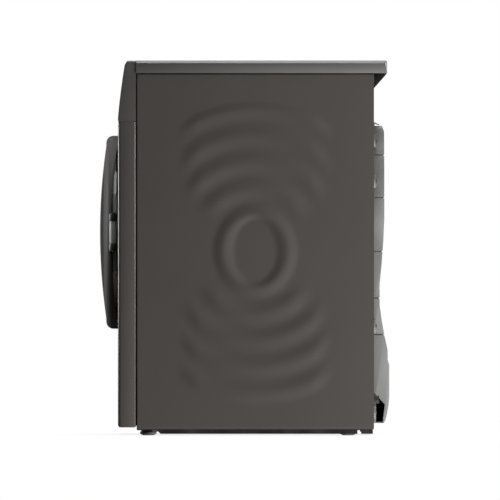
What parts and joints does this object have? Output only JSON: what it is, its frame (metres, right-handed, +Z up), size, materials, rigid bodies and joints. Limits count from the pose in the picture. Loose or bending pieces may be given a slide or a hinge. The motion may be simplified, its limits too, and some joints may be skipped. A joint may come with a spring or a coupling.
{
  "type": "clothes dryer",
  "caption": "Free-standing compact clothes dryer: steel cabinet with embossed sides, round side-hinged door, belt-driven drum and a heat pump in the base.",
  "frame": {"origin": "on the floor, under the middle of the machine's width and depth, where the feet stand", "axes": "+Z up, the door and controls face -Y, +X is the machine's right side seen from the front, where the door's hinge is"},
  "size_m": [0.598, 0.652, 0.842],
  "materials": {
    "side_steel": "satin",
    "front_steel": "satin",
    "fascia_plastic": "satin",
    "worktop_laminate": "fine matt",
    "base_plastic": "matt",
    "black_plastic": "matt",
    "grey_plastic": "matt",
    "silver_plastic": "satin",
    "black_gloss": "gloss",
    "galvanised": "zinc coated",
    "drum_steel": "brushed",
    "bright_steel": "turned",
    "cast_aluminium": "cast",
    "fin_aluminium": "bright",
    "copper_pipe": "bare copper",
    "black_enamel": "semi-gloss",
    "rubber": "matt",
    "felt": "pressed felt",
    "window_plastic": "clear",
    "tank_plastic": "translucent white",
    "white_plastic": "matt",
    "filter_plastic": "matt",
    "circuit_board": "solder mask"
  },
  "bodies": {
    "cabinet": {"base_tray": "base_plastic", "side_panel_right": "side_steel", "side_panel_left": "side_steel", "rear_panel": "galvanised", "rear_air_duct": "grey_plastic", "screws": "bright_steel", "worktop": "worktop_laminate", "worktop_brackets": "black_plastic", "front_panel": "front_steel", "front_bulkhead": "grey_plastic", "control_panel": "fascia_plastic", "display_window": "black_gloss", "control_board": "circuit_board", "tank_housing": "grey_plastic", "door_strike": "black_plastic", "door_hinge_bracket": "black_plastic", "hinge_pin": "bright_steel", "door_seal": "rubber", "drum_felt_seal": "felt", "rear_bearing": "cast_aluminium", "roller_axles": "bright_steel", "drive_belt": "rubber", "motor_housing": "cast_aluminium", "compressor": "black_enamel", "compressor_mounts": "rubber", "evaporator": "fin_aluminium", "condenser_coil": "fin_aluminium", "refrigerant_pipes": "copper_pipe", "heat_exchanger_cover": "grey_plastic", "condensate_pump": "white_plastic", "lint_filter": "filter_plastic", "drum_lamp": "window_plastic", "mains_gland": "black_plastic", "drain_spigot": "grey_plastic"},
    "door": {"door_outer_frame": "fascia_plastic", "door_cover": "black_gloss", "door_inner_frame": "grey_plastic", "door_window": "window_plastic", "door_latch_hook": "black_plastic", "door_hinge_leaf": "grey_plastic"},
    "drum": {"drum_shell": "drum_steel", "drum_back": "drum_steel", "drum_lifters": "white_plastic", "drum_shaft": "bright_steel"},
    "roller_right": {"support_roller_right": "rubber"},
    "roller_left": {"support_roller_left": "rubber"},
    "rotor": {"motor_shaft": "bright_steel", "fan_wheel": "black_plastic"},
    "tensioner": {"idler_arm": "galvanised"},
    "idler_wheel": {"idler_pulley": "black_plastic"},
    "dial": {"program_dial": "silver_plastic"},
    "start_key": {"start_button": "silver_plastic"},
    "power_key": {"power_button": "silver_plastic"},
    "tank_drawer": {"condensate_tank": "tank_plastic", "tank_front": "fascia_plastic"},
    "flap": {"service_flap": "front_steel"},
    "foot_1": {"foot_front_right": "rubber"},
    "foot_2": {"foot_front_left": "rubber"},
    "foot_3": {"foot_rear_right": "rubber"},
    "foot_4": {"foot_rear_left": "rubber"}
  },
  "joints": [
    {"name": "door_hinge", "type": "hinge", "parent": "cabinet", "child": "door", "pos_m": [0.221, -0.2947, 0.4565], "axis": [0, 0, 1], "range_deg": [0, 150]},
    {"name": "drum_spin", "type": "hinge", "parent": "cabinet", "child": "drum", "pos_m": [0, 0, 0.5], "axis": [0, 1, 0], "continuous": true},
    {"name": "roller_right_spin", "type": "hinge", "parent": "cabinet", "child": "roller_right", "pos_m": [0.16078, -0.21, 0.2427], "axis": [0, 1, 0], "continuous": true},
    {"name": "roller_left_spin", "type": "hinge", "parent": "cabinet", "child": "roller_left", "pos_m": [-0.16078, -0.21, 0.2427], "axis": [0, 1, 0], "continuous": true},
    {"name": "rotor_spin", "type": "hinge", "parent": "cabinet", "child": "rotor", "pos_m": [0.04, 0.15, 0.125], "axis": [0, 1, 0], "continuous": true},
    {"name": "tensioner_swing", "type": "hinge", "parent": "cabinet", "child": "tensioner", "pos_m": [0.084, 0.062, 0.111], "axis": [0, 1, 0], "range_deg": [0, 12], "stiffness_Nm_per_rad": 1.5, "springref_deg": -22.92},
    {"name": "idler_spin", "type": "hinge", "parent": "tensioner", "child": "idler_wheel", "pos_m": [0.10585, 0.05, 0.16081], "axis": [0, 1, 0], "continuous": true},
    {"name": "dial_turn", "type": "hinge", "parent": "cabinet", "child": "dial", "pos_m": [0, -0.27817, 0.768], "axis": [0, -0.9914, 0.1305], "continuous": true},
    {"name": "start_press", "type": "slide", "parent": "cabinet", "child": "start_key", "axis": [0, 0.9914, -0.1305], "range_m": [0, 0.0015], "stiffness_N_per_m": 900, "springref_m": -0.001},
    {"name": "power_press", "type": "slide", "parent": "cabinet", "child": "power_key", "axis": [0, 0.9914, -0.1305], "range_m": [0, 0.0015], "stiffness_N_per_m": 900, "springref_m": -0.001},
    {"name": "tank_slide", "type": "slide", "parent": "cabinet", "child": "tank_drawer", "axis": [0, -1, 0], "range_m": [0, 0.4]},
    {"name": "flap_swing", "type": "hinge", "parent": "cabinet", "child": "flap", "pos_m": [-0.155, -0.276, 0.046], "axis": [1, 0, 0], "range_deg": [0, 90]},
    {"name": "foot_1_turn", "type": "hinge", "parent": "cabinet", "child": "foot_1", "pos_m": [0.252, -0.216, 0.02], "axis": [0, 0, 1], "continuous": true},
    {"name": "foot_2_turn", "type": "hinge", "parent": "cabinet", "child": "foot_2", "pos_m": [-0.252, -0.216, 0.02], "axis": [0, 0, 1], "continuous": true},
    {"name": "foot_3_turn", "type": "hinge", "parent": "cabinet", "child": "foot_3", "pos_m": [0.252, 0.233, 0.02], "axis": [0, 0, 1], "continuous": true},
    {"name": "foot_4_turn", "type": "hinge", "parent": "cabinet", "child": "foot_4", "pos_m": [-0.252, 0.233, 0.02], "axis": [0, 0, 1], "continuous": true}
  ],
  "couplings": [
    {"joint": "roller_right_spin", "follows": "drum_spin", "ratio": -14.15},
    {"joint": "roller_left_spin", "follows": "drum_spin", "ratio": -14.15},
    {"joint": "rotor_spin", "follows": "drum_spin", "ratio": 31.444},
    {"joint": "idler_spin", "follows": "drum_spin", "ratio": -20.214}
  ]
}
